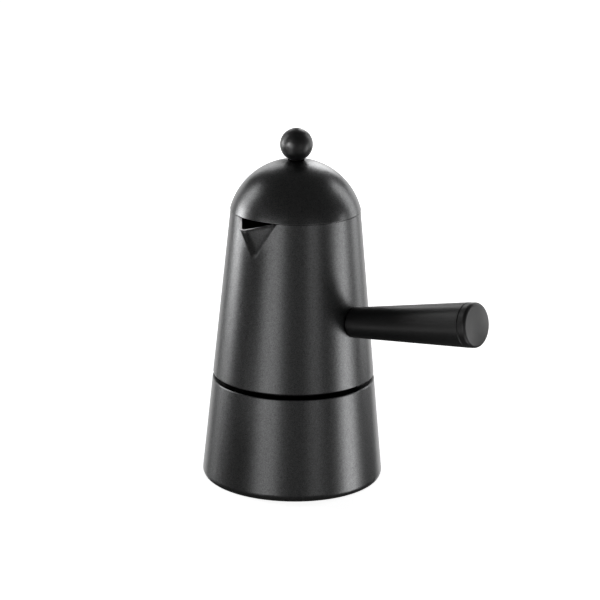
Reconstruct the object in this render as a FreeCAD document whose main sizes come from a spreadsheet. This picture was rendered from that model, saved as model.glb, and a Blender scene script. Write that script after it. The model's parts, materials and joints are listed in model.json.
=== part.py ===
import FreeCAD, Part
import math
import os
import re
import Sketcher
from FreeCAD import Placement, Rotation, Vector

# A stove-top moka pot: a conical boiler with a safety valve, a funnel for the ground coffee, a
# rubber gasket and filter plate, a conical collector with a folded beak and a stick handle, and a
# domed lid with a ball knob. Millimetres and degrees. +Z is up along the pot's axis, the origin is
# the centre of the base on the table, the handle points to +X, the beak to -Y, the valve to +Y.

doc = FreeCAD.newDocument("moka_pot")

# Driving sizes

SIZES = [
    # Outer form
    ("base_radius", 46.45, "outer cone's radius on the table"),
    ("wall_lean", 5.5, "inward lean of the walls, degrees"),
    ("base_round", 3.6, "rounding under the boiler's edge"),
    ("boiler_height", 53.0, "table to the boiler's shoulder"),
    ("waist_gap", 2.1, "open groove between boiler and collector"),
    ("waist_round", 0.7, "rounding of the two edges of that groove"),
    ("rim_height", 140.8, "table to the collector's rim"),
    # Fits
    ("slip_fit", 0.3, "radial gap between pieces that part by hand"),
    ("seat_fit", 0.05, "gap between pieces that are fixed together"),
    ("running_fit", 0.05, "radial gap of the valve pin in its guide"),
    # Boiler
    ("boiler_wall", 1.6, "boiler's wall"),
    ("boiler_floor", 3.0, "boiler's floor"),
    ("inner_round", 4.0, "rounding inside the boiler's floor"),
    ("shoulder_sheet", 2.0, "shoulder between wall and neck"),
    ("neck_height", 11.0, "threaded neck above the shoulder"),
    ("neck_wall", 3.0, "wall of the threaded neck"),
    # Safety valve
    ("valve_height", 34.0, "table to the valve's axis"),
    ("valve_boss_radius", 8.0, "boss in the boiler's wall"),
    ("valve_boss_proud", 1.5, "boss beyond the wall's outside"),
    ("valve_boss_inside", 1.5, "boss beyond the wall's inside"),
    ("valve_thread_radius", 4.5, "threaded hole in the boss"),
    ("valve_tail", 1.0, "valve body beyond the boss inside"),
    ("valve_seal_sheet", 0.8, "sealing washer's thickness"),
    ("valve_seal_radius", 7.0, "sealing washer's outside"),
    ("hex_flats", 13.0, "valve body across its flats"),
    ("hex_length", 4.5, "valve body's spanner faces"),
    ("nose_radius", 5.2, "valve body's round nose"),
    ("nose_length", 3.0, "length of that nose"),
    ("chamber_radius", 3.2, "spring chamber in the valve body"),
    ("inlet_radius", 1.6, "steam inlet in the valve seat"),
    ("inlet_sheet", 2.0, "thickness of the valve seat"),
    ("pin_head_radius", 2.7, "valve pin's sealing head"),
    ("pin_head_length", 2.2, "length of that head"),
    ("pin_pilot_length", 1.2, "pin's pilot in the steam inlet"),
    ("pin_stem_radius", 1.0, "valve pin's stem"),
    ("pin_show", 2.0, "stem seen beyond the valve"),
    ("guide_sheet", 1.8, "valve guide's thickness"),
    ("vent_radius", 0.5, "steam vents in the guide"),
    ("spring_radius", 2.0, "spring's coil, to the middle of its wire"),
    ("spring_wire", 0.3, "radius of the spring's wire"),
    ("spring_turns", 4.0, "turns of the spring"),
    # Funnel
    ("basket_gap", 0.5, "radial gap between basket and neck"),
    ("basket_depth", 23.0, "flange top to the basket's ledge"),
    ("funnel_sheet", 0.8, "funnel's wall"),
    ("flange_inset", 1.0, "funnel's flange inside the neck's edge"),
    ("sieve_ledge", 1.5, "ledge that carries the sieve"),
    ("sieve_sheet", 0.8, "sieve's thickness"),
    ("cone_drop", 6.0, "fall of the funnel's cone"),
    ("stem_radius", 4.6, "funnel's stem"),
    ("stem_gap", 4.0, "stem's end above the boiler's floor"),
    # Gasket and filter plate
    ("gasket_thickness", 3.5, "gasket's thickness"),
    ("gasket_lip", 2.7, "gasket inside the basket's wall"),
    ("plate_sheet", 0.8, "filter plate's thickness"),
    ("plate_overlap", 4.0, "filter plate's rim above the gasket"),
    ("hole_radius", 0.8, "holes of sieve and filter plate"),
    ("hole_pitch", 5.6, "spacing of their rings of holes"),
    # Collector
    ("collector_wall", 1.2, "collector's wall"),
    ("collar_wall", 5.2, "threaded collar of the collector's base"),
    ("collar_recess", 0.5, "collar above the wall's lower edge"),
    ("plate_seat", 2.5, "step that the filter plate's rim bears on"),
    ("headspace", 1.5, "room above the filter plate"),
    ("floor_thickness", 2.0, "collector's floor"),
    ("column_rise", 54.0, "floor to the coffee column's top"),
    ("column_bore", 3.6, "coffee column's bore"),
    ("column_spigot", 6.5, "column's end in the floor"),
    ("column_foot_radius", 8.5, "column's foot"),
    ("column_foot_height", 2.0, "height of that foot"),
    ("column_top_radius", 5.5, "column's top"),
    ("outlet_width", 3.0, "coffee outlets in the column's top"),
    ("outlet_height", 6.0, "height of those outlets"),
    ("cap_overhang", 0.6, "column cap beyond the column"),
    ("cap_sheet", 1.2, "column cap's thickness"),
    ("cap_plug", 1.5, "column cap's plug in the bore"),
    # Beak
    ("spout_reach", 44.9, "pot's axis to the beak's nose"),
    ("spout_depth", 18.4, "rim to the beak's lower point"),
    ("spout_half_width", 11.6, "half of the beak's mouth in the wall"),
    ("spout_nose", 3.0, "rounding of the beak's fold"),
    ("spout_blend", 0.7, "rounding where the beak leaves the wall"),
    ("lip_drop", 2.4, "nose of the lip below the rim"),
    # Handle
    ("handle_tilt", 9.8, "handle's rise from level, degrees"),
    ("handle_height", 88.4, "table to where the handle's axis meets the wall"),
    ("handle_gap", 0.6, "grip's hollowed root off the wall"),
    ("post_radius", 5.5, "post welded to the wall"),
    ("post_length", 14.0, "post from the wall to its end in the grip"),
    ("post_floor", 3.0, "solid end of the post at the wall"),
    ("grip_length", 69.7, "wall to the grip's seam"),
    ("grip_root_radius", 7.7, "grip at the wall"),
    ("grip_end_radius", 11.15, "grip at its seam"),
    ("seam_bevel", 0.4, "bevels that make the seam"),
    ("counterbore_radius", 6.0, "grip's hollow for the bolt's head"),
    ("counterbore_depth", 12.0, "depth of that hollow"),
    ("bolt_radius", 2.5, "handle bolt's shank"),
    ("bolt_head_radius", 4.25, "handle bolt's head"),
    ("bolt_head_length", 5.0, "length of that head"),
    ("bolt_short", 1.0, "bolt's tip short of the post's solid end"),
    ("handle_washer_radius", 5.5, "washer under the bolt's head"),
    ("handle_washer_sheet", 1.0, "thickness of that washer"),
    ("end_cap_length", 4.4, "end cap's visible length"),
    ("end_cap_crown", 0.9, "crown of the end cap's face"),
    ("end_cap_spigot", 4.0, "end cap's spigot in the grip"),
    ("end_cap_round", 1.6, "rounding of the end cap"),
    # Lid and knob
    ("lid_seam", 0.25, "fine seam between rim and dome"),
    ("lid_overhang", 0.2, "dome's edge beyond the rim"),
    ("dome_rise", 25.6, "dome's height above its edge"),
    ("dome_round", 0.15, "rounding of the dome's edge"),
    ("lid_wall", 1.2, "dome's wall"),
    ("lid_collar_depth", 4.3, "lid's collar below the rim"),
    ("lid_collar_sheet", 0.8, "collar's thickness"),
    ("lid_flange_recess", 0.45, "collar's flange inside the rim's edge"),
    ("notch_margin", 1.0, "collar's notch inside the beak's mouth"),
    ("knob_seat_radius", 4.35, "flat seat on the dome's top"),
    ("knob_radius", 8.3, "ball knob"),
    ("knob_rise", 7.9, "ball's centre above its seat"),
    ("knob_neck_radius", 4.2, "neck under the ball"),
    ("insert_radius", 3.0, "threaded insert in the knob"),
    ("insert_length", 7.0, "length of that insert"),
    ("screw_radius", 2.0, "knob screw's shank"),
    ("screw_head_radius", 3.6, "knob screw's head"),
    ("screw_head_length", 2.2, "length of that head"),
    ("knob_washer_radius", 4.2, "washer under the screw's head"),
    ("knob_washer_sheet", 0.8, "thickness of that washer"),
]

# Places worked out from the sizes

PLACES = [
    # Heights of the stack, from the waist up to the collector's floor
    ("skirt_low", "boiler_height + waist_gap"),
    ("collar_low", "skirt_low + collar_recess"),
    ("neck_top", "boiler_height + neck_height"),
    ("flange_top", "neck_top + funnel_sheet"),
    ("gasket_top", "flange_top + gasket_thickness"),
    ("plate_top", "gasket_top + plate_sheet"),
    ("floor_low", "plate_top + headspace"),
    ("floor_top", "floor_low + floor_thickness"),
    ("column_top", "floor_top + column_rise"),
    # Outer radii of the cone, and the walls' thickness measured level
    ("shoulder_radius", "base_radius - boiler_height * tan(wall_lean)"),
    ("skirt_radius", "base_radius - skirt_low * tan(wall_lean)"),
    ("rim_radius", "base_radius - rim_height * tan(wall_lean)"),
    ("boiler_inset", "boiler_wall / cos(wall_lean)"),
    ("collector_inset", "collector_wall / cos(wall_lean)"),
    # Radii of the pieces that nest in the waist, from the outside in
    ("collar_bore", "skirt_radius - collector_inset - collar_wall"),
    ("neck_radius", "collar_bore - slip_fit"),
    ("neck_bore", "neck_radius - neck_wall"),
    ("basket_radius", "neck_bore - basket_gap"),
    ("basket_bore", "basket_radius - funnel_sheet"),
    ("gasket_bore", "basket_bore - gasket_lip"),
    ("plate_radius", "gasket_bore + plate_overlap"),
    # Boiler's inside and the funnel
    ("shoulder_low", "boiler_height - shoulder_sheet"),
    ("boiler_bore_low", "base_radius - boiler_floor * tan(wall_lean) - boiler_inset"),
    ("boiler_bore_high", "base_radius - shoulder_low * tan(wall_lean) - boiler_inset"),
    ("ledge_low", "flange_top - basket_depth"),
    ("cone_low", "ledge_low - cone_drop"),
    ("stem_low", "boiler_floor + stem_gap"),
    ("stem_bore", "stem_radius - funnel_sheet"),
    # Safety valve, measured out from the pot's axis
    ("valve_wall", "base_radius - valve_height * tan(wall_lean)"),
    ("boss_inside", "valve_wall - boiler_inset - valve_boss_inside"),
    ("boss_face", "valve_wall + valve_boss_proud"),
    ("valve_inlet", "boss_inside - valve_tail"),
    ("chamber_floor", "valve_inlet + inlet_sheet"),
    ("hex_start", "boss_face + valve_seal_sheet"),
    ("hex_end", "hex_start + hex_length"),
    ("nose_end", "hex_end + nose_length"),
    ("guide_start", "nose_end - guide_sheet"),
    ("pin_face", "chamber_floor + seat_fit"),
    ("pin_shoulder", "pin_face + pin_head_length"),
    ("spring_start", "pin_shoulder + spring_wire + seat_fit"),
    ("spring_end", "guide_start - spring_wire - seat_fit"),
    # Beak: the corner of its mouth, the centre of its nose and the direction of its side walls
    ("mouth_corner", "sqrt(rim_radius ^ 2 - spout_half_width ^ 2)"),
    ("nose_centre", "spout_reach - spout_nose"),
    ("mouth_span", "sqrt((nose_centre - mouth_corner) ^ 2 + spout_half_width ^ 2)"),
    ("mouth_turn", "90 deg + atan((nose_centre - mouth_corner) / spout_half_width)"),
    ("flank_turn", "mouth_turn - acos(spout_nose / mouth_span)"),
    ("inner_nose", "spout_nose - collector_wall"),
    ("flank_inward", "spout_half_width / 2"),
    ("keel_foot", "base_radius - (rim_height - spout_depth) * tan(wall_lean)"),
    ("keel_run", "(spout_reach - keel_foot) / spout_depth"),
    ("keel_depth", "spout_depth + spout_nose + 2 * collector_wall"),
    ("lip_end", "spout_reach + spout_nose"),
    ("lip_fall", "lip_drop * (lip_end - mouth_corner) / (spout_reach - mouth_corner)"),
    # Handle, measured out along its own axis
    ("handle_wall", "(base_radius - handle_height * tan(wall_lean)) / cos(handle_tilt)"),
    ("handle_origin", "handle_height - handle_wall * sin(handle_tilt)"),
    ("handle_inside", "handle_wall - post_radius"),
    ("grip_flare", "(grip_end_radius - grip_root_radius) / grip_length"),
    ("grip_inside_radius", "grip_root_radius - grip_flare * post_radius"),
    ("post_bore_end", "handle_wall + post_floor"),
    ("post_end", "handle_wall + post_length"),
    ("seam", "handle_wall + grip_length"),
    ("handle_end", "seam + end_cap_length"),
    ("crown_radius", "(grip_end_radius ^ 2 + end_cap_crown ^ 2) / (2 * end_cap_crown)"),
    ("bolt_tip", "post_bore_end + bolt_short"),
    ("bolt_seat", "seam - counterbore_depth"),
    ("bolt_head_start", "bolt_seat + handle_washer_sheet"),
    # Lid and knob
    ("dome_low", "rim_height + lid_seam"),
    ("dome_edge", "rim_radius + lid_overhang"),
    ("dome_radius", "(dome_edge ^ 2 + dome_rise ^ 2) / (2 * dome_rise)"),
    ("dome_centre", "dome_low + dome_rise - dome_radius"),
    ("dome_inner", "dome_radius - lid_wall"),
    ("dome_inner_edge", "sqrt(dome_inner ^ 2 - (dome_low - dome_centre) ^ 2)"),
    ("seat_top", "dome_centre + sqrt(dome_radius ^ 2 - knob_seat_radius ^ 2)"),
    ("seat_low", "dome_centre + sqrt(dome_inner ^ 2 - knob_seat_radius ^ 2)"),
    ("lid_collar_radius", "rim_radius - collector_inset - slip_fit"),
    ("lid_collar_bore", "lid_collar_radius - lid_collar_sheet"),
    ("ball_centre", "seat_top + knob_rise"),
    ("ball_low", "ball_centre - sqrt(knob_radius ^ 2 - knob_neck_radius ^ 2)"),
    ("insert_top", "seat_top + insert_length"),
    ("screw_seat", "seat_low - knob_washer_sheet"),
]

sizes = doc.addObject("Spreadsheet::Sheet", "sizes")
places = doc.addObject("Spreadsheet::Sheet", "places")
SHEET_OF = {alias: "sizes." for alias, size, meaning in SIZES}
SHEET_OF.update({alias: "places." for alias, formula in PLACES})


def named(expression):
    """Put the name of its sheet in front of each alias."""
    return re.sub("[a-z_]+", lambda word: SHEET_OF.get(word[0], "") + word[0], expression)


def number(expression):
    """What an expression comes to with the present sizes."""
    return float(sizes.evalExpression(named(expression)))


for row, (alias, size, meaning) in enumerate(SIZES, 1):
    sizes.set(f"A{row}", meaning)
    sizes.set(f"B{row}", str(size))
    sizes.setAlias(f"B{row}", alias)
doc.recompute()
for row, (alias, formula) in enumerate(PLACES, 1):
    places.set(f"B{row}", "=" + named(formula))
    places.setAlias(f"B{row}", alias)
    doc.recompute()


# Ways of building

SAME_PLACE = 1e-4  # millimetres within which two edges count as one


def bind(target, **expressions):
    """Tie properties of a feature to the sheets."""
    for name, expression in expressions.items():
        target.setExpression(name, named(expression))


def new_body(label):
    body = doc.addObject("PartDesign::Body", label)
    body.Label = label
    return body


def new_sketch(body, plane, offset="0"):
    """An empty sketch on one of the body's own planes, moved along that plane's normal."""
    sketch = body.newObject("Sketcher::SketchObject", "outline")
    support = next(part for part in body.Origin.OriginFeatures if part.Role == plane)
    sketch.AttachmentSupport = [(support, "")]
    sketch.MapMode = "FlatFace"
    sketch.setExpression("AttachmentOffset.Base.z", named(offset))
    return sketch


def pin_point(sketch, geometry, vertex, x, y=None):
    """Hold a point of a sketch at a place given by expressions."""
    for axis, expression in (("DistanceX", x), ("DistanceY", y)):
        if expression is not None:
            rule = Sketcher.Constraint(axis, -1, 1, geometry, vertex, number(expression))
            index = sketch.addConstraint(rule)
            sketch.setExpression(f"Constraints[{index}]", named(expression))


def outline(body, plane, corners, arcs=None, offset="0"):
    """A closed outline through corners. arcs maps the corner where an arc starts to its turn,
    "left" or "right", and its centre."""
    sketch = new_sketch(body, plane, offset)
    points = [Vector(number(x), number(y), 0) for x, y in corners]
    ends = []
    for index, start in enumerate(points):
        finish = points[(index + 1) % len(points)]
        if index not in (arcs or {}):
            sketch.addGeometry(Part.LineSegment(start, finish))
            ends.append((1, 2))
            continue
        turn, centre_x, centre_y = arcs[index]
        centre = Vector(number(centre_x), number(centre_y), 0)
        first, last = (start, finish) if turn == "left" else (finish, start)
        circle = Part.Circle(centre, Vector(0, 0, 1), (start - centre).Length)
        sketch.addGeometry(Part.ArcOfCircle(circle, circle.parameter(first), circle.parameter(last)))
        ends.append((1, 2) if turn == "left" else (2, 1))
        pin_point(sketch, index, 3, centre_x)
    for index, (x, y) in enumerate(corners):
        before = index - 1 if index else len(corners) - 1
        rule = Sketcher.Constraint("Coincident", before, ends[before][1], index, ends[index][0])
        sketch.addConstraint(rule)
        pin_point(sketch, index, ends[index][0], x, y)
    return sketch


def circle_at(body, plane, x, y, radius, offset="0"):
    sketch = new_sketch(body, plane, offset)
    centre = Vector(number(x), number(y), 0)
    sketch.addGeometry(Part.Circle(centre, Vector(0, 0, 1), number(radius)))
    pin_point(sketch, 0, 3, x, y)
    index = sketch.addConstraint(Sketcher.Constraint("Radius", 0, number(radius)))
    sketch.setExpression(f"Constraints[{index}]", named(radius))
    return sketch


def turned(body, sketch, axis="V_Axis", kind="Revolution"):
    """A full turn of a sketch about its upright or its level axis: added, or cut by a Groove."""
    feature = body.newObject("PartDesign::" + kind, kind.lower())
    feature.Profile = sketch
    feature.ReferenceAxis = (sketch, [axis])
    feature.Angle = 360
    doc.recompute()
    return feature


def extruded(body, sketch, length, kind="Pad", both_ways=False):
    """A Pad, or a Pocket that cuts the same way as the Pad would grow."""
    feature = body.newObject("PartDesign::" + kind, kind.lower())
    feature.Profile = sketch
    feature.SideType = "Symmetric" if both_ways else "One side"
    feature.Reversed = kind == "Pocket"
    bind(feature, Length=length)
    doc.recompute()
    return feature


def around(body, feature, count, plane_axis="Z_Axis"):
    """Repeat a feature round one of the body's axes."""
    pattern = body.newObject("PartDesign::PolarPattern", "pattern")
    pattern.Originals = [feature]
    axis = next(part for part in body.Origin.OriginFeatures if part.Role == plane_axis)
    pattern.Axis = (axis, [""])
    pattern.Angle = 360
    pattern.Occurrences = count
    body.Tip = pattern
    doc.recompute()
    return pattern


def dressed(body, kind, radius, place, size, axis=2):
    """A Fillet or a Chamfer on the round edge of a given radius, at a given place along an axis."""
    before = body.Tip
    edges = []
    for index, edge in enumerate(body.Shape.Edges, 1):
        if not edge.Degenerated and edge.Closed and isinstance(edge.Curve, Part.Circle):
            misfit = (edge.Curve.Radius - number(radius), edge.Curve.Center[axis] - number(place))
            if max(map(abs, misfit)) < SAME_PLACE:
                edges.append(f"Edge{index}")
    feature = body.newObject("PartDesign::" + kind, kind.lower())
    feature.Base = (before, edges)
    bind(feature, **{"Radius" if kind == "Fillet" else "Size": size})
    body.Tip = feature
    doc.recompute()
    return feature


def ring(label, inner, outer, low, high, axis="V_Axis"):
    """A plain washer round the sketch's upright axis, or along its level one."""
    body = new_body(label)
    corners = [(inner, low), (outer, low), (outer, high), (inner, high)]
    if axis == "H_Axis":
        corners = [(along, radius) for radius, along in corners]
    turned(body, outline(body, "XZ_Plane", corners), axis)
    return body


def perforate(body, low, thickness, reach):
    """Round holes on rings, six more on each ring than on the one inside it."""
    hole = circle_at(body, "XY_Plane", "0", "0", "hole_radius", low)
    extruded(body, hole, thickness, "Pocket")
    rings = int((number(reach) - 2 * number("hole_radius")) / number("hole_pitch"))
    for step in range(1, rings + 1):
        hole = circle_at(body, "XY_Plane", f"{step} * hole_pitch", "0", "hole_radius", low)
        around(body, extruded(body, hole, thickness, "Pocket"), 6 * step)


def on_valve_axis(body):
    """Valve pieces are drawn along +X and stand at the valve's height on the +Y side."""
    body.Placement = Placement(Vector(0, 0, number("valve_height")), Rotation(Vector(0, 0, 1), 90))
    body.setExpression("Placement.Base.z", named("valve_height"))
    return body


def on_handle_axis(body):
    """Handle pieces are drawn along +X and tilt up with the handle."""
    body.Placement = Placement(Vector(), Rotation(Vector(0, -1, 0), number("handle_tilt")))
    body.setExpression("Placement.Base.z", named("handle_origin"))
    body.setExpression("Placement.Rotation.Angle", named("handle_tilt"))
    return body


# Boiler and its valve

def make_boiler():
    """Conical pan with a flat floor, a shoulder, a threaded neck and a boss for the valve."""
    body = new_body("boiler")
    turned(body, outline(body, "XZ_Plane", [
        ("0", "0"),
        ("base_radius", "0"),
        ("shoulder_radius", "boiler_height"),
        ("neck_radius", "boiler_height"),
        ("neck_radius", "neck_top"),
        ("0", "neck_top"),
    ]))
    boss = circle_at(body, "YZ_Plane", "0", "valve_height", "valve_boss_radius", "boss_inside")
    extruded(body, boss, "boss_face - boss_inside")
    turned(body, outline(body, "XZ_Plane", [
        ("0", "boiler_floor"),
        ("boiler_bore_low", "boiler_floor"),
        ("boiler_bore_high", "shoulder_low"),
        ("neck_bore", "shoulder_low"),
        ("neck_bore", "neck_top"),
        ("0", "neck_top"),
    ]), kind="Groove")
    inner_boss = circle_at(body, "YZ_Plane", "0", "valve_height", "valve_boss_radius", "boss_inside")
    extruded(body, inner_boss, "valve_boss_inside + boiler_inset")
    hole = circle_at(body, "YZ_Plane", "0", "valve_height", "valve_thread_radius", "valve_inlet")
    extruded(body, hole, "hex_start - valve_inlet", "Pocket")
    dressed(body, "Fillet", "base_radius", "0", "base_round")
    dressed(body, "Fillet", "boiler_bore_low", "boiler_floor", "inner_round")
    dressed(body, "Fillet", "shoulder_radius", "boiler_height", "waist_round")
    body.Placement = Placement(Vector(), Rotation(Vector(0, 0, 1), 90))
    return body


def make_valve_body():
    """Brass body: threaded spigot, spanner hexagon, round nose, spring chamber and steam inlet."""
    body = new_body("valve_body")
    thread = "valve_thread_radius - seat_fit"
    turned(body, outline(body, "XZ_Plane", [
        ("valve_inlet", "0"),
        ("valve_inlet", thread),
        ("hex_start", thread),
        ("hex_start", "nose_radius"),
        ("nose_end", "nose_radius"),
        ("nose_end", "0"),
    ]), "H_Axis")
    corner = "hex_flats / sqrt(3)"
    hexagon = [(f"{corner} * cos({60 * k})", f"{corner} * sin({60 * k})") for k in range(6)]
    extruded(body, outline(body, "YZ_Plane", hexagon, offset="hex_start"), "hex_length")
    turned(body, outline(body, "XZ_Plane", [
        ("valve_inlet", "0"),
        ("valve_inlet", "inlet_radius"),
        ("chamber_floor", "inlet_radius"),
        ("chamber_floor", "chamber_radius"),
        ("nose_end", "chamber_radius"),
        ("nose_end", "0"),
    ]), "H_Axis", "Groove")
    return on_valve_axis(body)


def make_valve_seal():
    """Flat washer between the boiler's boss and the valve's hexagon."""
    inside = "valve_thread_radius + seat_fit"
    return on_valve_axis(ring("valve_seal", inside, "valve_seal_radius", "boss_face", "hex_start", "H_Axis"))


def make_valve_guide():
    """Plug that closes the spring chamber, with the pin's guide hole and steam vents."""
    inside = "pin_stem_radius + running_fit"
    body = ring("valve_guide", inside, "chamber_radius - seat_fit", "guide_start", "nose_end", "H_Axis")
    vent_circle = f"({inside} + chamber_radius) / 2"
    vent = circle_at(body, "YZ_Plane", vent_circle, "0", "vent_radius", "guide_start")
    around(body, extruded(body, vent, "guide_sheet", "Pocket"), 3, "X_Axis")
    return on_valve_axis(body)


def make_valve_pin():
    """Pin that shuts the steam inlet from outside, with a stem that shows beyond the valve."""
    body = new_body("valve_pin")
    pilot = "inlet_radius - slip_fit"
    turned(body, outline(body, "XZ_Plane", [
        ("pin_face - pin_pilot_length", "0"),
        ("pin_face - pin_pilot_length", f"({pilot}) / 2"),
        ("pin_face", pilot),
        ("pin_face", "pin_head_radius"),
        ("pin_shoulder", "pin_head_radius"),
        ("pin_shoulder", "pin_stem_radius"),
        ("nose_end + pin_show", "pin_stem_radius"),
        ("nose_end + pin_show", "0"),
    ]), "H_Axis")
    return on_valve_axis(body)


def biarc(start, start_way, end, end_way):
    """Two arcs that meet smoothly and join two points in given directions."""
    chord, spread = end - start, 2 * (1 - start_way.dot(end_way))
    lead = chord.dot(start_way + end_way)
    reach = (math.sqrt(lead ** 2 + spread * chord.dot(chord)) - lead) / spread
    corners = (start + start_way * reach, end - end_way * reach)
    meet = (corners[0] + corners[1]) / 2
    arcs = []
    for first, corner, last in ((start, corners[0], meet), (meet, corners[1], end)):
        weight = first.distanceToPoint(last) / reach
        middle = (first + last + corner * weight) / (2 + weight)
        arcs.append(Part.Arc(first, middle, last).toShape())
    return arcs


def make_valve_spring():
    """Coil spring that holds the pin on its seat: a round wire along quarter turns of a helix."""
    radius, turns = number("spring_radius"), int(number("spring_turns"))
    rise = number("spring_end - spring_start") / turns
    slope = math.atan2(rise, 2 * math.pi * radius)
    stations = []
    for quarter in range(4 * turns + 1):
        turn = quarter * math.pi / 2
        along = number("spring_start") + rise * quarter / 4
        place = Vector(along, radius * math.cos(turn), radius * math.sin(turn))
        sideways = Vector(0, -math.sin(turn), math.cos(turn)) * math.cos(slope)
        stations.append((place, sideways + Vector(math.sin(slope), 0, 0)))
    path = Part.Wire([arc for a, b in zip(stations, stations[1:]) for arc in biarc(*a, *b)])
    section = Part.Wire(Part.Circle(*stations[0], number("spring_wire")).toShape())
    coil = doc.addObject("Part::Feature", "valve_spring")
    coil.Shape = path.makePipeShell([section], True, False)
    print(f"valve_spring: {rise - 2 * number('spring_wire'):.2f} mm between turns")
    return on_valve_axis(coil)


# Funnel, gasket and filter plate

def make_funnel():
    """Basket for the ground coffee, with a flange on the neck, a cone and a stem."""
    body = new_body("funnel")
    turned(body, outline(body, "XZ_Plane", [
        ("stem_bore", "stem_low"),
        ("stem_radius", "stem_low"),
        ("stem_radius", "cone_low"),
        ("basket_radius - sieve_ledge", "ledge_low"),
        ("basket_radius", "ledge_low"),
        ("basket_radius", "neck_top"),
        ("neck_radius - flange_inset", "neck_top"),
        ("neck_radius - flange_inset", "flange_top"),
        ("basket_bore", "flange_top"),
        ("basket_bore", "ledge_low + funnel_sheet"),
        ("basket_bore - sieve_ledge", "ledge_low + funnel_sheet"),
        ("stem_bore", "cone_low + funnel_sheet"),
    ]))
    return body


def make_funnel_sieve():
    """Perforated disc on the basket's ledge."""
    low = "ledge_low + funnel_sheet"
    body = new_body("funnel_sieve")
    disc = circle_at(body, "XY_Plane", "0", "0", "basket_bore - seat_fit", low)
    extruded(body, disc, "sieve_sheet")
    perforate(body, low, "sieve_sheet", "basket_bore - sieve_ledge")
    return body


def make_gasket():
    """Rubber ring that seals the collector on the funnel's flange."""
    return ring("gasket", "gasket_bore", "neck_radius", "flange_top", "gasket_top")


def make_filter_plate():
    """Perforated disc that the gasket holds against the collector's base."""
    body = new_body("filter_plate")
    disc = circle_at(body, "XY_Plane", "0", "0", "plate_radius", "gasket_top")
    extruded(body, disc, "plate_sheet")
    perforate(body, "gasket_top", "plate_sheet", "gasket_bore")
    return body


# Collector

def beak_outline(body, nose):
    """Level section of the beak at the rim: two side walls and a round nose of a given radius."""
    side = f"{nose} - spout_nose"
    touch = (f"nose_centre + {nose} * cos(flank_turn)", f"{nose} * sin(flank_turn)")
    root = (
        f"mouth_corner - flank_inward * sin(flank_turn) + ({side}) * cos(flank_turn)",
        f"spout_half_width + flank_inward * cos(flank_turn) + ({side}) * sin(flank_turn)",
    )
    mirrored = [(x, f"-({y})") for x, y in (root, touch)]
    arcs = {1: ("left", "nose_centre", "0")}
    return outline(body, "XY_Plane", mirrored + [touch, root], arcs, "rim_height")


def along_keel(feature):
    """Lean a feature that grows down from the rim, so that the beak's fold runs into the wall."""
    feature.Reversed = False
    feature.UseCustomVector = True
    feature.Direction = Vector(-number("keel_run"), 0, -1)
    feature.setExpression("Direction.x", named("-keel_run"))
    feature.AlongSketchNormal = True
    doc.recompute()


def blended(body, size):
    """Fillet where the beak's sides leave the cone."""
    before = body.Tip
    edges = []
    for index, edge in enumerate(body.Shape.Edges, 1):
        surfaces = {type(face.Surface) for face in body.Shape.ancestorsOfType(edge, Part.Face)}
        if Part.Cone in surfaces and len(surfaces) > 1 and edge.BoundBox.ZLength > SAME_PLACE:
            edges.append(f"Edge{index}")
    feature = body.newObject("PartDesign::Fillet", "fillet")
    feature.Base = (before, edges)
    bind(feature, Radius=size)
    body.Tip = feature
    doc.recompute()


def make_collector_shell():
    """Thin conical wall with a beak folded out of it."""
    body = new_body("collector_shell")
    turned(body, outline(body, "XZ_Plane", [
        ("0", "skirt_low"),
        ("skirt_radius", "skirt_low"),
        ("rim_radius", "rim_height"),
        ("0", "rim_height"),
    ]))
    along_keel(extruded(body, beak_outline(body, "spout_nose"), "keel_depth"))
    blended(body, "spout_blend")
    turned(body, outline(body, "XZ_Plane", [
        ("0", "skirt_low"),
        ("skirt_radius - collector_inset", "skirt_low"),
        ("rim_radius - collector_inset", "rim_height"),
        ("0", "rim_height"),
    ]), kind="Groove")
    along_keel(extruded(body, beak_outline(body, "inner_nose"), "keel_depth", "Pocket"))
    wedge = outline(body, "XZ_Plane", [
        ("mouth_corner", "rim_height"),
        ("lip_end", "rim_height - lip_fall"),
        ("lip_end", "rim_height"),
    ])
    extruded(body, wedge, "4 * spout_half_width", "Pocket", both_ways=True)
    dressed(body, "Fillet", "skirt_radius", "skirt_low", "waist_round")
    body.Placement = Placement(Vector(), Rotation(Vector(0, 0, 1), -90))
    return body


def make_collector_base():
    """Floor of the collector and its threaded collar, fixed in the wall's lower end."""
    body = new_body("collector_base")
    seat = "collector_inset - seat_fit"
    recess = "plate_radius - plate_seat"
    turned(body, outline(body, "XZ_Plane", [
        ("column_spigot", "floor_low"),
        (recess, "floor_low"),
        (recess, "plate_top"),
        ("collar_bore", "plate_top"),
        ("collar_bore", "collar_low"),
        (f"base_radius - collar_low * tan(wall_lean) - {seat}", "collar_low"),
        (f"base_radius - floor_top * tan(wall_lean) - {seat}", "floor_top"),
        ("column_spigot", "floor_top"),
    ]))
    return body


def make_coffee_column():
    """Tapered tube that the coffee rises through, with outlets across its top."""
    body = new_body("coffee_column")
    turned(body, outline(body, "XZ_Plane", [
        ("column_bore", "floor_low"),
        ("column_spigot - seat_fit", "floor_low"),
        ("column_spigot - seat_fit", "floor_top"),
        ("column_foot_radius", "floor_top"),
        ("column_foot_radius", "floor_top + column_foot_height"),
        ("column_top_radius", "column_top"),
        ("column_bore", "column_top"),
    ]))
    slot = outline(body, "XZ_Plane", [
        ("-outlet_width / 2", "column_top - outlet_height"),
        ("outlet_width / 2", "column_top - outlet_height"),
        ("outlet_width / 2", "column_top"),
        ("-outlet_width / 2", "column_top"),
    ])
    across = extruded(body, slot, "2 * column_foot_radius", "Pocket", both_ways=True)
    around(body, across, 4)
    return body


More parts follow.
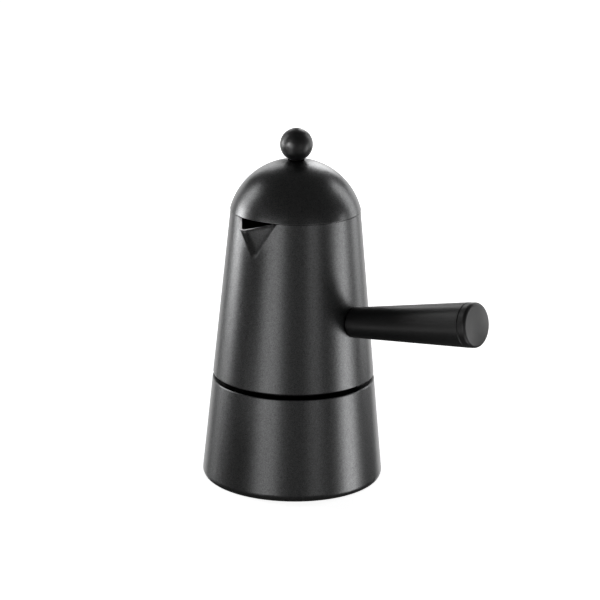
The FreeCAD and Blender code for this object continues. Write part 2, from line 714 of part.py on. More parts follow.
def make_column_cap():
    """Cap that turns the coffee out through the column's outlets."""
    body = new_body("column_cap")
    turned(body, outline(body, "XZ_Plane", [
        ("0", "column_top - cap_plug"),
        ("column_bore - seat_fit", "column_top - cap_plug"),
        ("column_bore - seat_fit", "column_top"),
        ("column_top_radius + cap_overhang", "column_top"),
        ("column_top_radius + cap_overhang", "column_top + cap_sheet / 2"),
        ("column_top_radius", "column_top + cap_sheet"),
        ("0", "column_top + cap_sheet"),
    ]))
    return body


# Handle

def cut_to_wall(blank, label, gap):
    """Hollow a piece's inner end to the outer wall's cone, at a gap from it."""
    wall = doc.addObject("Part::Cone", label + "_wall")
    swell = f"({gap}) / cos(wall_lean)"
    bind(wall, Radius1=f"base_radius + {swell}", Radius2=f"rim_radius + {swell}", Height="rim_height")
    piece = doc.addObject("Part::Cut", label)
    piece.Label = label
    piece.Base = on_handle_axis(blank)
    piece.Tool = wall
    doc.recompute()
    return piece


def make_handle_post():
    """Threaded post, welded to the wall, that the grip is pulled onto."""
    blank = new_body("handle_post_blank")
    turned(blank, outline(blank, "XZ_Plane", [
        ("handle_inside", "0"),
        ("handle_inside", "post_radius"),
        ("post_end", "post_radius"),
        ("post_end", "bolt_radius"),
        ("post_bore_end", "bolt_radius"),
        ("post_bore_end", "0"),
    ]), "H_Axis")
    return cut_to_wall(blank, "handle_post", "0")


def make_handle_grip():
    """Tapered grip with a socket for the post, a hole for the bolt and a hollow for its head."""
    blank = new_body("handle_grip_blank")
    socket = "post_radius + seat_fit"
    hole = "bolt_radius + slip_fit"
    turned(blank, outline(blank, "XZ_Plane", [
        ("handle_inside", socket),
        ("handle_inside", "grip_inside_radius"),
        ("seam", "grip_end_radius"),
        ("seam", "counterbore_radius"),
        ("bolt_seat", "counterbore_radius"),
        ("bolt_seat", hole),
        ("post_end", hole),
        ("post_end", socket),
    ]), "H_Axis")
    dressed(blank, "Chamfer", "grip_end_radius", "seam", "seam_bevel", axis=0)
    return cut_to_wall(blank, "handle_grip", "handle_gap")


def make_handle_washer():
    """Washer under the head of the handle's bolt."""
    inside = "bolt_radius + slip_fit"
    return on_handle_axis(
        ring("handle_washer", inside, "handle_washer_radius", "bolt_seat", "bolt_head_start", "H_Axis"))


def make_handle_bolt():
    """Long bolt that pulls the grip onto the post."""
    body = new_body("handle_bolt")
    shank = "bolt_radius - seat_fit"
    turned(body, outline(body, "XZ_Plane", [
        ("bolt_tip", "0"),
        ("bolt_tip", shank),
        ("bolt_head_start", shank),
        ("bolt_head_start", "bolt_head_radius"),
        ("bolt_head_start + bolt_head_length", "bolt_head_radius"),
        ("bolt_head_start + bolt_head_length", "0"),
    ]), "H_Axis")
    return on_handle_axis(body)


def make_handle_end_cap():
    """Rounded cap that plugs the grip's end and hides the bolt."""
    body = new_body("handle_end_cap")
    spigot = "counterbore_radius - seat_fit"
    turned(body, outline(body, "XZ_Plane", [
        ("seam - end_cap_spigot", "0"),
        ("seam - end_cap_spigot", spigot),
        ("seam", spigot),
        ("seam", "grip_end_radius"),
        ("handle_end", "grip_end_radius"),
        ("handle_end + end_cap_crown", "0"),
    ], {4: ("right", "handle_end + end_cap_crown - crown_radius", "0")}), "H_Axis")
    dressed(body, "Fillet", "grip_end_radius", "handle_end", "end_cap_round", axis=0)
    dressed(body, "Chamfer", "grip_end_radius", "seam", "seam_bevel", axis=0)
    return on_handle_axis(body)


# Lid

def make_lid_dome():
    """Spherical dome with a flat seat for the knob."""
    body = new_body("lid_dome")
    hole = "screw_radius + slip_fit"
    turned(body, outline(body, "XZ_Plane", [
        ("dome_edge", "dome_low"),
        ("knob_seat_radius", "seat_top"),
        (hole, "seat_top"),
        (hole, "seat_low"),
        ("knob_seat_radius", "seat_low"),
        ("dome_inner_edge", "dome_low"),
    ], {0: ("left", "0", "dome_centre"), 4: ("right", "0", "dome_centre")}))
    dressed(body, "Fillet", "dome_edge", "dome_low", "dome_round")
    return body


def make_lid_collar():
    """Ring that keeps the lid in the collector's mouth, notched where the beak opens."""
    body = new_body("lid_collar")
    low = "rim_height - lid_collar_depth"
    turned(body, outline(body, "XZ_Plane", [
        ("lid_collar_bore", low),
        ("lid_collar_radius", low),
        ("lid_collar_radius", "rim_height"),
        ("rim_radius - lid_flange_recess", "rim_height"),
        ("rim_radius - lid_flange_recess", "dome_low"),
        ("lid_collar_bore", "dome_low"),
    ]))
    half_notch = "spout_half_width - notch_margin"
    notch = outline(body, "XZ_Plane", [
        (f"-({half_notch})", low),
        (half_notch, low),
        (half_notch, "rim_height"),
        (f"-({half_notch})", "rim_height"),
    ])
    extruded(body, notch, "rim_radius", "Pocket")
    return body


def make_lid_knob():
    """Ball with a short neck, moulded over a threaded insert."""
    body = new_body("lid_knob")
    hole = "insert_radius + seat_fit"
    turned(body, outline(body, "XZ_Plane", [
        (hole, "seat_top"),
        ("knob_neck_radius", "seat_top"),
        ("knob_neck_radius", "ball_low"),
        ("0", "ball_centre + knob_radius"),
        ("0", "insert_top + seat_fit"),
        (hole, "insert_top + seat_fit"),
    ], {2: ("left", "0", "ball_centre")}))
    return body


def make_knob_insert():
    """Threaded metal insert in the knob."""
    return ring("knob_insert", "screw_radius + seat_fit", "insert_radius", "seat_top", "insert_top")


def make_knob_washer():
    """Washer under the knob screw's head, inside the dome."""
    inside = "screw_radius + slip_fit"
    return ring("knob_washer", inside, "knob_washer_radius", "screw_seat", "seat_low")


def make_knob_screw():
    """Screw that holds the knob from inside the dome."""
    body = new_body("knob_screw")
    turned(body, outline(body, "XZ_Plane", [
        ("0", "screw_seat - screw_head_length"),
        ("screw_head_radius", "screw_seat - screw_head_length"),
        ("screw_head_radius", "screw_seat"),
        ("screw_radius", "screw_seat"),
        ("screw_radius", "insert_top - slip_fit"),
        ("0", "insert_top - slip_fit"),
    ]))
    return body


MAKERS = [
    make_boiler, make_valve_body, make_valve_seal, make_valve_guide, make_valve_pin, make_valve_spring,
    make_funnel, make_funnel_sieve, make_gasket, make_filter_plate,
    make_collector_shell, make_collector_base, make_coffee_column, make_column_cap,
    make_handle_post, make_handle_grip, make_handle_washer, make_handle_bolt, make_handle_end_cap,
    make_lid_dome, make_lid_collar, make_lid_knob, make_knob_insert, make_knob_washer, make_knob_screw,
]

pieces = [make() for make in MAKERS]
doc.recompute()

# Nothing is written unless every feature and every piece came out whole

for item in doc.Objects:
    if {"Invalid", "Error"} & set(item.State):
        raise RuntimeError(f"{item.FullName} failed: {item.getStatusString()}")
for piece in pieces:
    if piece.Shape.isNull() or not piece.Shape.isValid() or len(piece.Shape.Solids) != 1:
        raise RuntimeError(f"{piece.Label} is not one valid solid")

os.makedirs("parts", exist_ok=True)
for piece in pieces:
    piece.Shape.exportStep(f"parts/{piece.Label}.step")
    box = piece.Shape.optimalBoundingBox(False)
    spans = " x ".join(f"{span:.2f}" for span in (box.XLength, box.YLength, box.ZLength))
    print(f"{piece.Label}: {piece.Shape.Volume:.1f} mm3 in {spans} mm")
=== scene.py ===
import json
import math

import bmesh
import bpy
from mathutils import Matrix, Vector


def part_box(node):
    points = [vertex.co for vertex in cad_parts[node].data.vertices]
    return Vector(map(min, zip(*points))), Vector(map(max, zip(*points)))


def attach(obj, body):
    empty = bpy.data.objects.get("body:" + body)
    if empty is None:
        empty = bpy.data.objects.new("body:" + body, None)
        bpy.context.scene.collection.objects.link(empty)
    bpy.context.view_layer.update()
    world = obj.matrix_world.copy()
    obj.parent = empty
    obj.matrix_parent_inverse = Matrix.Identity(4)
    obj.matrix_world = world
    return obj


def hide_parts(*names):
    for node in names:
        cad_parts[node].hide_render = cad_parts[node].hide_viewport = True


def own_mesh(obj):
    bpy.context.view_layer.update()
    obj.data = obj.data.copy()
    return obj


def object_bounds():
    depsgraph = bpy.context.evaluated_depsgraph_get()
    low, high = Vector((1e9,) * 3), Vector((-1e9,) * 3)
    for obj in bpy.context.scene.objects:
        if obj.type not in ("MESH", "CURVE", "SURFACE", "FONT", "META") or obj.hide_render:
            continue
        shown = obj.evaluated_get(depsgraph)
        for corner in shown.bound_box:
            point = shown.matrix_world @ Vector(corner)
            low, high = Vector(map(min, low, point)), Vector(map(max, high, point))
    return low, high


# A stove-top moka pot in satin anthracite lacquer, on a plain white table in soft studio light.
# Metres and degrees in the part's own frame: +Z up, the handle towards +X, the beak towards -Y.

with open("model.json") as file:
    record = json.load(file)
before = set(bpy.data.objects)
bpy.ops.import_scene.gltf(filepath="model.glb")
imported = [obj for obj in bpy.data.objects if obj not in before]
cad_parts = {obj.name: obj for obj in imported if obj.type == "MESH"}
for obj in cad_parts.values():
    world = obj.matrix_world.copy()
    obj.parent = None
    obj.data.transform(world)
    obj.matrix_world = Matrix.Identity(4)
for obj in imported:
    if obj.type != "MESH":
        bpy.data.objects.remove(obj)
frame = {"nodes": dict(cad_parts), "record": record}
cad_low, cad_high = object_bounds()

MM = 0.001

# Places read from the frame

neck_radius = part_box("gasket")[1].x
neck_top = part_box("boiler")[1].z
collar_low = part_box("collector_base")[0].z
skirt_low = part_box("collector_shell")[0].z
rim_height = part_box("collector_shell")[1].z
rim_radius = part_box("lid_dome")[1].x
knob_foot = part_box("lid_knob")[0].z
screw_low, screw_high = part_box("knob_screw")
pot_middle = (cad_low.z + cad_high.z) / 2

# Heights and radii where a finish ends

boiler_floor = 8 * MM
thread_radius = neck_radius + 0.5 * MM
collar_edge = collar_low + 1 * MM
shoulder_low = skirt_low - 3 * MM
neck_low = skirt_low - 2 * MM
skirt_edge = skirt_low + 2 * MM
lid_seam = rim_height - 0.05 * MM
beak_low = rim_height - 25 * MM
# The knob's foot below this height is painted dark, as the shade under the ball.
neck_shade_below = knob_foot + 0.7 * MM


# Materials

def put(tree, kind, inputs=None, out=0, **settings):
    """Add a node, fill its inputs with numbers or with other nodes' outputs, and return an output."""
    node = tree.nodes.new(kind)
    for name, value in settings.items():
        setattr(node, name, value)
    for key, value in (inputs or {}).items():
        if isinstance(value, bpy.types.NodeSocket):
            tree.links.new(value, node.inputs[key])
        else:
            node.inputs[key].default_value = value
    return node.outputs[out]


def calc(tree, operation, *values):
    return put(tree, "ShaderNodeMath", dict(enumerate(values)), operation=operation)


def above(tree, value, limit):
    return calc(tree, "GREATER_THAN", value, limit)


def below(tree, value, limit):
    return calc(tree, "LESS_THAN", value, limit)


def both(tree, first, second):
    return calc(tree, "MULTIPLY", first, second)


def most(tree, *values):
    """The largest of several values."""
    largest = values[0]
    for value in values[1:]:
        largest = calc(tree, "MAXIMUM", largest, value)
    return largest


def blend(tree, first, second, share):
    """Two values added up, the first with a given share."""
    return calc(tree, "ADD", both(tree, first, share), both(tree, second, 1 - share))


def spread(tree, value, low, high):
    """A value from 0 to 1, spread over a range."""
    return put(tree, "ShaderNodeMapRange", {"Value": value, "To Min": low, "To Max": high})


def shade(tree, factor, first, second):
    """A colour between two others."""
    return put(tree, "ShaderNodeMix", {0: factor, 6: first, 7: second}, 2, data_type="RGBA")


def grey(value, warmth=0.0):
    return (value * (1 + warmth), value, value * (1 - warmth), 1.0)


def new_material(name, metallic, constants):
    """A material whose shader has the given constant values, with its tree and shader."""
    material = bpy.data.materials.new(name)
    material.use_nodes = True
    tree = material.node_tree
    shader = tree.nodes["Principled BSDF"]
    shader.inputs["Metallic"].default_value = metallic
    for key, value in constants.items():
        shader.inputs[key].default_value = value
    return material, tree, shader


def drive(tree, shader, colour, roughness, height, depth, rounded=None):
    """Feed a shader its colour, its roughness and the relief of its surface."""
    inputs = {"Height": height, "Distance": depth}
    if rounded:
        inputs["Normal"] = rounded
    relief = put(tree, "ShaderNodeBump", inputs)
    tree.links.new(colour, shader.inputs["Base Color"])
    tree.links.new(roughness, shader.inputs["Roughness"])
    tree.links.new(relief, shader.inputs["Normal"])


def noise(tree, grain, place=None, detail=2.0):
    """Noise from 0 to 1 with grains of a given size."""
    inputs = {"Scale": 1 / grain, "Detail": detail}
    inputs["Vector"] = place or put(tree, "ShaderNodeTexCoord", out="Object")
    return put(tree, "ShaderNodeTexNoise", inputs)


def around_axis(tree):
    """A point's distance from the pot's axis, its height, and how far its surface faces out and up."""
    split = "ShaderNodeSeparateXYZ"
    place = put(tree, "ShaderNodeTexCoord", out="Object").node
    x, y, z = put(tree, split, {0: place.outputs["Object"]}).node.outputs
    across, along, up = put(tree, split, {0: place.outputs["Normal"]}).node.outputs
    radius = calc(tree, "SQRT", calc(tree, "ADD", calc(tree, "POWER", x, 2), calc(tree, "POWER", y, 2)))
    lean = calc(tree, "ADD", calc(tree, "MULTIPLY", x, across), calc(tree, "MULTIPLY", y, along))
    return radius, z, calc(tree, "DIVIDE", lean, radius), up


def lathe_marks(tree, grain):
    """Fine rings as a lathe or a spinning tool leaves them."""
    radius, height, _, _ = around_axis(tree)
    ring = put(tree, "ShaderNodeCombineXYZ", {"X": radius, "Y": height})
    return noise(tree, grain, ring, 4.0)


# Lacquer

FLAKE_SIZE = 0.38 * MM
MOTTLE_SIZE = 1.3 * MM
FLAKE_SHARE = 0.8            # the rest of the speckle is mottle
SPECKLE_LOW, SPECKLE_HIGH = 0.3, 0.7
LACQUER_DARK = grey(0.09, -0.01)
LACQUER_LIGHT = grey(0.24, -0.01)
LACQUER_TINT = grey(0.8)     # of its reflections at a flat angle
LACQUER_HAZE = 0.08          # how far its roughness varies
LACQUER_RELIEF = 0.02 * MM
# Painted shade: near-black colour for the groove under the collector and the seam under the lid.
GROOVE_PAINTED_SHADE = grey(0.004)
FOLD_ROUND = 3.4 * MM        # how softly the beak's folds turn
SPUN_MARKS = 0.25 * MM
SPUN_CONTRAST = 0.15
SPUN_SMOOTH, SPUN_ROUGH = 0.24, 0.36


def lacquer(name, bare_where=None, painted_shade_where=None, fold_where=None, smooth=0.28, bare_tone=0.46):
    """Satin metallic lacquer with flakes. Given places are bare spun metal, painted black as shade, or
    softly folded.
    """
    material, tree, shader = new_material(name, 1.0, {"Specular Tint": LACQUER_TINT})
    flakes = noise(tree, FLAKE_SIZE)
    mottle = noise(tree, MOTTLE_SIZE)
    speckle = blend(tree, flakes, mottle, FLAKE_SHARE)
    limits = {"Value": speckle, "From Min": SPECKLE_LOW, "From Max": SPECKLE_HIGH}
    colour = shade(tree, put(tree, "ShaderNodeMapRange", limits), LACQUER_DARK, LACQUER_LIGHT)
    roughness = spread(tree, flakes, smooth, smooth + LACQUER_HAZE)
    height = speckle
    rounded = None
    if painted_shade_where:
        # Painted shade: these places take a near-black colour in place of the shadow they lie in.
        colour = shade(tree, painted_shade_where(tree), colour, GROOVE_PAINTED_SHADE)
    if fold_where:
        reach = both(tree, fold_where(tree), FOLD_ROUND)
        rounded = put(tree, "ShaderNodeBevel", {"Radius": reach}, samples=8)
    if bare_where:
        bare = bare_where(tree)
        marks = lathe_marks(tree, SPUN_MARKS)
        metal = shade(tree, marks, grey(bare_tone), grey(bare_tone + SPUN_CONTRAST))
        colour = shade(tree, bare, colour, metal)
        satin = spread(tree, marks, SPUN_SMOOTH, SPUN_ROUGH)
        roughness = put(tree, "ShaderNodeMix", {0: bare, 2: roughness, 3: satin})
        height = put(tree, "ShaderNodeMix", {0: bare, 2: speckle, 3: marks})
    drive(tree, shader, colour, roughness, height, LACQUER_RELIEF, rounded)
    return material


# Where the lacquer ends. A surface that faces straight out or straight up has the value 1 there.

FACES_IN = -0.05
DOME_FACES_IN = -0.02
OVERHANGS = -0.05
FACES_UP = 0.5
CUT_EDGE = 0.7
NEARLY_LEVEL = 0.9
FLAT = 0.98


def bare_boiler(tree):
    """The boiler's inside, the thread on its neck and its underside are left bare."""
    radius, height, outward, up = around_axis(tree)
    thread = both(tree, below(tree, radius, thread_radius), above(tree, height, collar_edge))
    wall = below(tree, outward, FACES_IN)
    floor = both(tree, below(tree, height, boiler_floor), above(tree, up, FACES_UP))
    underside = below(tree, up, -FLAT)
    return most(tree, thread, wall, floor, underside)


def bare_collector(tree):
    """The collector's inside and the cut edge of its beak are left bare."""
    radius, _, outward, up = around_axis(tree)
    lip = both(tree, above(tree, up, CUT_EDGE), above(tree, radius, rim_radius))
    return most(tree, below(tree, outward, FACES_IN), lip)


def bare_base(tree):
    """The collector's floor is bare apart from the edge that faces the groove."""
    _, height, _, _ = around_axis(tree)
    return above(tree, height, collar_edge)


def bare_collar(tree):
    """The lid's collar is bare below the seam under the dome."""
    _, height, _, _ = around_axis(tree)
    return below(tree, height, lid_seam)


def bare_lid(tree):
    """The dome's inside is left bare."""
    _, _, outward, up = around_axis(tree)
    return most(tree, below(tree, outward, DOME_FACES_IN), below(tree, up, DOME_FACES_IN))


def beak_sides(tree):
    """The beak's outside, which leans out over the wall."""
    _, height, _, up = around_axis(tree)
    return both(tree, below(tree, up, OVERHANGS), above(tree, height, beak_low))


def shoulder_painted_shade(tree):
    """The boiler's shoulder and the foot of its neck, in the groove under the collector, painted black as
    the shade in the groove.
    """
    _, height, _, up = around_axis(tree)
    shoulder = both(tree, above(tree, up, NEARLY_LEVEL), above(tree, height, shoulder_low))
    return most(tree, shoulder, above(tree, height, neck_low))


def skirt_and_rim_painted_shade(tree):
    """The underside of the collector's wall, in the same groove, and the rim's top under the lid, painted
    black as the shade in the groove and in the seam.
    """
    radius, height, _, up = around_axis(tree)
    skirt = both(tree, below(tree, up, -NEARLY_LEVEL), below(tree, height, skirt_edge))
    rim = both(tree, above(tree, height, lid_seam), below(tree, radius, rim_radius))
    return most(tree, skirt, rim)


def base_edge_painted_shade(tree):
    """The edge of the collector's floor, in the same groove, painted black as its shade."""
    _, height, _, _ = around_axis(tree)
    return below(tree, height, collar_edge)


def flange_painted_shade(tree):
    """The edge of the lid's collar, in the seam under the dome, painted black as the seam's shade."""
    _, height, _, _ = around_axis(tree)
    return above(tree, height, lid_seam)


# Bare metal, plastic and rubber

METAL_CLOUD = 6 * MM
RING_SHARE = 0.6             # the rest of a metal's tone is cloud
RING_RELIEF = 0.03 * MM
MOULDED_CLOUD = 9 * MM
PLASTIC_GRAIN = 0.3 * MM
# Painted shade: the knob's foot is coloured near black, as the shade under the ball.
NECK_SHADE_DARK, NECK_SHADE_LIGHT = grey(0.001), grey(0.003)
DULL_ROUGHNESS = 0.9
DULL_GLOSS = 0.05


def turned_metal(name, dark, light, smooth, rough, grain):
    """Bare metal with the fine rings of turning."""
    material, tree, shader = new_material(name, 1.0, {})
    marks = lathe_marks(tree, grain)
    tone = blend(tree, marks, noise(tree, METAL_CLOUD), RING_SHARE)
    colour, roughness = shade(tree, tone, dark, light), spread(tree, tone, smooth, rough)
    drive(tree, shader, colour, roughness, marks, RING_RELIEF)
    return material


def moulded(name, dark, light, smooth, rough, grain, depth, gloss):
    """Moulded plastic or rubber with a fine grain."""
    material, tree, shader = new_material(name, 0.0, {"Specular IOR Level": gloss})
    pores = noise(tree, grain)
    cloud = noise(tree, MOULDED_CLOUD)
    colour, roughness = shade(tree, cloud, dark, light), spread(tree, pores, smooth, rough)
    drive(tree, shader, colour, roughness, pores, depth)
    return material


def shade_knob_neck(material):
    """Make the knob's plastic dark and matte at its foot, painted as the shade under the ball."""
    tree = material.node_tree
    _, height, _, _ = around_axis(tree)
    tone = shade(tree, noise(tree, PLASTIC_GRAIN), NECK_SHADE_DARK, NECK_SHADE_LIGHT)
    dull_and_shaded = put(tree, "ShaderNodeBsdfPrincipled", {"Base Color": tone, "Roughness": DULL_ROUGHNESS,
                                                  "Specular IOR Level": DULL_GLOSS})
    polished = tree.nodes["Principled BSDF"].outputs[0]
    mixed = put(tree, "ShaderNodeMixShader", {0: below(tree, height, neck_shade_below), 1: polished, 2: dull_and_shaded})
    tree.links.new(mixed, tree.nodes["Material Output"].inputs["Surface"])
    return material


aluminium = turned_metal("spun_aluminium", dark=grey(0.60), light=grey(0.76),
                         smooth=0.28, rough=0.42, grain=0.3 * MM)
steel = turned_metal("stainless_steel", dark=grey(0.50, 0.01), light=grey(0.64, 0.01),
                     smooth=0.22, rough=0.34, grain=0.2 * MM)
brass = turned_metal("turned_brass", dark=(0.50, 0.34, 0.13, 1), light=(0.68, 0.48, 0.20, 1),
                     smooth=0.22, rough=0.36, grain=0.2 * MM)
PLASTIC_LOOK = {"dark": grey(0.005, -0.02), "light": grey(0.009, -0.02), "smooth": 0.36, "rough": 0.44,
                "grain": PLASTIC_GRAIN, "depth": 0.01 * MM, "gloss": 1.0}
black_plastic = moulded("black_plastic", **PLASTIC_LOOK)
knob_plastic = shade_knob_neck(moulded("knob_plastic", **PLASTIC_LOOK))
silicone = moulded("silicone", dark=grey(0.60, 0.05), light=grey(0.68, 0.05),
                   smooth=0.5, rough=0.65, grain=0.5 * MM, depth=0.02 * MM, gloss=0.5)

FINISHES = {
    "boiler": lacquer("boiler_lacquer", bare_boiler, shoulder_painted_shade),
    "collector_shell": lacquer("collector_lacquer", bare_collector, skirt_and_rim_painted_shade, beak_sides, bare_tone=0.72),
    "lid_dome": lacquer("lid_lacquer", bare_lid, smooth=0.26),
    "lid_collar": lacquer("collar_lacquer", bare_collar, flange_painted_shade),
    "lid_knob": knob_plastic,
    "collector_base": lacquer("base_lacquer", bare_base, base_edge_painted_shade),
    "handle_post": lacquer("post_lacquer"),
}
SLOT_FINISHES = {"bare_aluminium": aluminium, "steel": steel, "brass": brass, "rubber": silicone,
                 "black_plastic": black_plastic}

for subpart in frame["record"]["subparts"]:
    node = frame["nodes"][subpart["node"]]
    finish = FINISHES.get(node.name) or SLOT_FINISHES[subpart["material_slot"]]
    node.data.materials.clear()
    node.data.materials.append(finish)


# Thread on the boiler's neck

THREAD_PITCH = 3 * MM        # as the collector's joints have it
THREAD_RISE = 0.2 * MM
THREAD_ROOT = 0.1 * MM
THREAD_WIDTH = 1.6 * MM
THREAD_CREST = 0.3           # half the crest's width, as a share of half the thread's
THREAD_RUNOUT = 0.25         # of a turn, at each end
THREAD_STEPS = 96            # in a turn


def add_piece(name, shape, body, finish):
    """Turn a bmesh into a piece that rides on a body."""
    bmesh.ops.recalc_face_normals(shape, faces=shape.faces)
    mesh = bpy.data.meshes.new(name)
    shape.to_mesh(mesh)
    shape.free()
    mesh.materials.append(finish)
    mesh.shade_smooth()
    piece = bpy.data.objects.new(name, mesh)
    bpy.context.scene.collection.objects.link(piece)
    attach(piece, body)
    return piece


def neck_thread():
    """Rolled right-hand thread that runs out at both ends."""
    low, high = collar_low + THREAD_WIDTH, neck_top - THREAD_WIDTH
    steps = round((high - low) / THREAD_PITCH * THREAD_STEPS)
    runout = THREAD_RUNOUT * THREAD_STEPS
    shape = bmesh.new()
    rings = []
    for step in range(steps + 1):
        turn = 2 * math.pi * step / THREAD_STEPS
        ease = min(1.0, step / runout, (steps - step) / runout)
        middle = low + THREAD_PITCH * step / THREAD_STEPS
        crest = (THREAD_RISE + THREAD_ROOT) * ease - THREAD_ROOT
        corners = []
        for across in (-1.0, -THREAD_CREST, THREAD_CREST, 1.0):
            radius = neck_radius + (-THREAD_ROOT if abs(across) == 1.0 else crest)
            corners.append(shape.verts.new((radius * math.cos(turn), radius * math.sin(turn),
                                            middle + across * THREAD_WIDTH / 2)))
        rings.append(corners)
    for before, after in zip(rings, rings[1:]):
        for k in range(4):
            shape.faces.new((before[k], before[k - 1], after[k - 1], after[k]))
    shape.faces.new(rings[0])
    shape.faces.new(rings[-1])
    add_piece("neck_thread", shape, "boiler", aluminium)


neck_thread()


# Knob screw with its cross recess, seen under the lid

SCREW_SHANK = 2 * MM
SCREW_TIP = 0.4 * MM
SCREW_HEAD = 3.6 * MM
SCREW_HEAD_LENGTH = 2.2 * MM
SCREW_CROWN = 0.5 * MM
SCREW_EDGE = 0.3 * MM        # how far the head's edge is rounded
SCREW_SEGMENTS = 96
FACE_RINGS = 24
SHARP_EDGE = 35
RECESS_REACH = 1.9 * MM
RECESS_HALF_WIDTH = 0.45 * MM
RECESS_DEPTH = 1.4 * MM
RECESS_SLOPE = 0.25          # width of its sloping sides, as a share of its own


def recess(across, along):
    """Depth of the cross recess at a point of the head's face."""
    arms = (max(abs(across) / RECESS_HALF_WIDTH, abs(along) / RECESS_REACH),
            max(abs(along) / RECESS_HALF_WIDTH, abs(across) / RECESS_REACH))
    return RECESS_DEPTH * min(1.0, max(0.0, (1 + RECESS_SLOPE - min(arms)) / RECESS_SLOPE))


def knob_screw():
    """Round-headed screw, drawn from the middle of its face out and up to the end of its shank."""
    length = screw_high.z - screw_low.z
    face = [(k / FACE_RINGS * (SCREW_HEAD - SCREW_EDGE), None) for k in range(1, FACE_RINGS + 1)]
    sides = [(SCREW_HEAD - SCREW_EDGE / 3, SCREW_CROWN + SCREW_EDGE / 3),
             (SCREW_HEAD, SCREW_CROWN + SCREW_EDGE), (SCREW_HEAD, SCREW_HEAD_LENGTH),
             (SCREW_SHANK, SCREW_HEAD_LENGTH), (SCREW_SHANK, length - SCREW_TIP),
             (SCREW_SHANK - SCREW_TIP, length)]
    shape = bmesh.new()
    middle = shape.verts.new((0, 0, screw_low.z + recess(0, 0)))
    rings = []
    for radius, height in face + sides:
        ring = []
        for k in range(SCREW_SEGMENTS):
            turn = 2 * math.pi * k / SCREW_SEGMENTS
            x, y = radius * math.cos(turn), radius * math.sin(turn)
            crown = SCREW_CROWN * (radius / SCREW_HEAD) ** 2
            rise = max(crown, recess(x, y)) if height is None else height
            ring.append(shape.verts.new((x, y, screw_low.z + rise)))
        rings.append(ring)
    for k in range(SCREW_SEGMENTS):
        shape.faces.new((middle, rings[0][k], rings[0][k - 1]))
        for inner, outer in zip(rings, rings[1:]):
            shape.faces.new((inner[k - 1], inner[k], outer[k], outer[k - 1]))
    shape.faces.new(rings[-1])
    piece = add_piece("cross_head_screw", shape, "lid", steel)
    piece.modifiers.new("edges", "EDGE_SPLIT").split_angle = math.radians(SHARP_EDGE)
    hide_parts("knob_screw")


knob_screw()


# Valve spring, copied as a coil that rides on the boiler


def valve_coil():
    """The spring's coil, a copy of its mesh that rides on the boiler."""
    coil = bpy.data.objects.new("valve_coil", frame["nodes"]["valve_spring"].data.copy())
    bpy.context.scene.collection.objects.link(coil)
    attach(coil, "boiler")
    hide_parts("valve_spring")
    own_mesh(coil)


valve_coil()


# Table, backdrop and studio

PHOTO_PIXELS = 600
CAMERA_AZIMUTH = 37.0        # camera's side of the pot, from -Y towards +X
CAMERA_STAND_OFF = 1.3286    # level distance from the pot's axis
CAMERA_HEIGHT = 0.4777
CAMERA_DOWN = 16.142         # pitch below level
CAMERA_ASIDE = 0.124         # aim to the right of the axis
CAMERA_ROLL = 0.809
FOCAL_PIXELS = 2718.65
SENSOR_WIDTH = 36.0          # in mm, as the lens is
NEAREST, FARTHEST = 0.05, 20.0
ROOM_LEVEL = 0.055
BOX_DISTANCE = 1.2
CARD_HEIGHT = 1 * MM
TABLE_RADIUS = 3.0
TABLE_SEGMENTS = 96
TABLE_WHITE = grey(0.8)
FOOT_RADIUS, CLEAR_RADIUS = 0.08, 0.3
FOOT_GLOW, CLEAR_GLOW = 0.9, 1.0


def round_about(azimuth):
    """A level direction from the pot. Azimuth 0 is towards the camera and positive to its right."""
    turn = math.radians(azimuth + CAMERA_AZIMUTH)
    return Vector((math.sin(turn), -math.cos(turn), 0))


def area_lamp(name, radiance, beam, width, height):
    """A lamp of even brightness that the camera doesn't see. It is placed and turned by its stand."""
    lamp = bpy.data.lights.new(name, "AREA")
    lamp.shape = "RECTANGLE"
    lamp.size, lamp.size_y = width, height
    lamp.energy = radiance * math.pi * width * height
    lamp.spread = math.radians(beam)
    stand = bpy.data.objects.new(name, lamp)
    stand.visible_camera = False
    bpy.context.scene.collection.objects.link(stand)
    return stand


def softbox(name, azimuth, low, high, half_width, radiance, distance=BOX_DISTANCE, beam=180):
    """An upright soft box that fills a patch of the pot's surroundings with even light."""
    bottom, top = (distance * math.tan(math.radians(edge)) for edge in (low, high))
    width = 2 * distance * math.tan(math.radians(half_width))
    stand = area_lamp(name, radiance, beam, width, top - bottom)
    stand.location = round_about(azimuth) * distance + Vector((0, 0, pot_middle + (top + bottom) / 2))
    stand.rotation_euler = (-round_about(azimuth)).to_track_quat("-Z", "Y").to_euler()


def table_card(name, x, y, size, radiance, beam):
    """A white card that lies on the table and lights what leans out over it."""
    stand = area_lamp(name, radiance, beam, size, size)
    stand.location = (x, y, CARD_HEIGHT)
    stand.rotation_euler = (math.pi, 0, 0)


def backdrop():
    """Plain white for the camera, and a dim room in reflections."""
    world = bpy.data.worlds.new("studio")
    bpy.context.scene.world = world
    world.use_nodes = True
    tree = world.node_tree
    seen = put(tree, "ShaderNodeLightPath", out="Is Camera Ray")
    tree.links.new(calc(tree, "MAXIMUM", seen, ROOM_LEVEL), tree.nodes["Background"].inputs["Strength"])
    tree.nodes["Background"].inputs["Color"].default_value = grey(1.0)


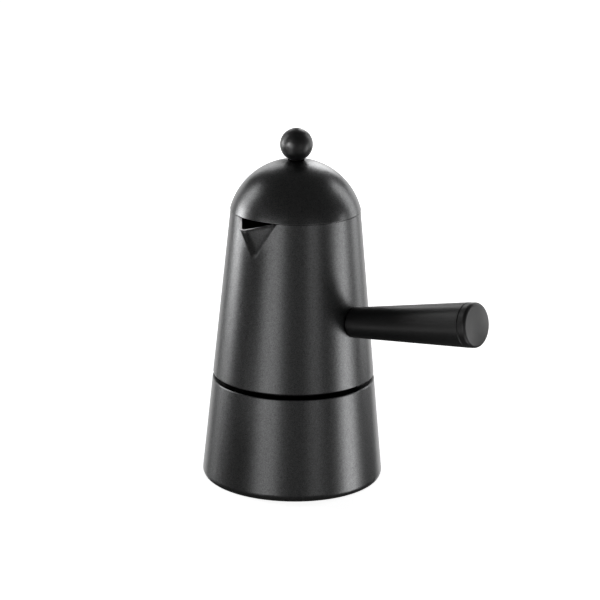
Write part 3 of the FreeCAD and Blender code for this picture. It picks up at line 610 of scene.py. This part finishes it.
def table_top():
    """White table that shows the pot's shadow and stays out of its reflections."""
    mesh = bpy.data.meshes.new("table")
    shape = bmesh.new()
    bmesh.ops.create_circle(shape, cap_ends=True, segments=TABLE_SEGMENTS, radius=TABLE_RADIUS)
    shape.to_mesh(mesh)
    shape.free()
    table = bpy.data.objects.new("table", mesh)
    bpy.context.scene.collection.objects.link(table)
    table.visible_glossy = False
    table.visible_shadow = False
    material = bpy.data.materials.new("white_table")
    material.use_nodes = True
    tree = material.node_tree
    tree.nodes.clear()
    white = put(tree, "ShaderNodeBsdfDiffuse", {"Color": TABLE_WHITE})
    seen = put(tree, "ShaderNodeLightPath", out="Is Camera Ray")
    radius, _, _, _ = around_axis(tree)
    limits = {"From Min": FOOT_RADIUS, "From Max": CLEAR_RADIUS, "To Min": FOOT_GLOW, "To Max": CLEAR_GLOW}
    level = put(tree, "ShaderNodeMapRange", {"Value": radius, **limits})
    glow = put(tree, "ShaderNodeEmission", {"Color": grey(1.0), "Strength": both(tree, seen, level)})
    mixed = put(tree, "ShaderNodeAddShader", {0: white, 1: glow})
    tree.links.new(mixed, tree.nodes.new("ShaderNodeOutputMaterial").inputs["Surface"])
    mesh.materials.append(material)


def camera():
    """The photograph's camera, worked out from the pot's outline in it."""
    lens = bpy.data.cameras.new("camera")
    lens.sensor_width = SENSOR_WIDTH
    lens.lens = SENSOR_WIDTH * FOCAL_PIXELS / PHOTO_PIXELS
    lens.clip_start, lens.clip_end = NEAREST, FARTHEST
    stand = bpy.data.objects.new("camera", lens)
    place = Matrix.Translation(round_about(0) * CAMERA_STAND_OFF + Vector((0, 0, CAMERA_HEIGHT)))
    turn = Matrix.Rotation(math.radians(CAMERA_AZIMUTH - CAMERA_ASIDE), 4, "Z")
    tip = Matrix.Rotation(math.radians(90 - CAMERA_DOWN), 4, "X")
    roll = Matrix.Rotation(math.radians(CAMERA_ROLL), 4, "Z")
    stand.matrix_world = place @ turn @ tip @ roll
    bpy.context.scene.collection.objects.link(stand)
    bpy.context.scene.camera = stand


backdrop()
table_top()
camera()
table_card("front_card", x=172 * MM, y=-66 * MM, size=80 * MM, radiance=1.2, beam=120)
table_card("left_card", x=-60 * MM, y=-230 * MM, size=130 * MM, radiance=1.1, beam=160)
softbox("left_edge_box", azimuth=-111, low=-8, high=14, half_width=10, radiance=7.0)
softbox("left_upper_box", azimuth=-113, low=14, high=40, half_width=12, radiance=2.1)
softbox("left_low_box", azimuth=-121, low=-30, high=-8, half_width=7, radiance=0.6)
softbox("left_front_box", azimuth=-34, low=-21, high=14, half_width=14, radiance=1.05)
softbox("front_box", azimuth=-3, low=-20, high=14, half_width=17, radiance=0.06)
softbox("right_front_box", azimuth=30, low=-16, high=14, half_width=9, radiance=0.48)
softbox("right_edge_box", azimuth=80, low=-30, high=-4, half_width=11, radiance=2.9)
softbox("right_cap_box", azimuth=91, low=-6, high=12, half_width=6, radiance=2.4)
softbox("right_back_box", azimuth=123, low=-12, high=14, half_width=10, radiance=2.1)
softbox("right_upper_box", azimuth=124, low=14, high=40, half_width=11, radiance=2.0)
softbox("right_sweep_box", azimuth=161, low=-30, high=14, half_width=19, radiance=1.4)
softbox("left_sweep_box", azimuth=-161, low=-30, high=14, half_width=19, radiance=1.3)
softbox("top_back_box", azimuth=165, low=14, high=40, half_width=8, radiance=4.8)
softbox("top_left_box", azimuth=-163, low=14, high=42, half_width=8, radiance=2.1)
softbox("knob_box", azimuth=-57, low=19, high=30, half_width=14, radiance=0.5, distance=0.22, beam=22)
bpy.context.scene.view_settings.view_transform = "Standard"
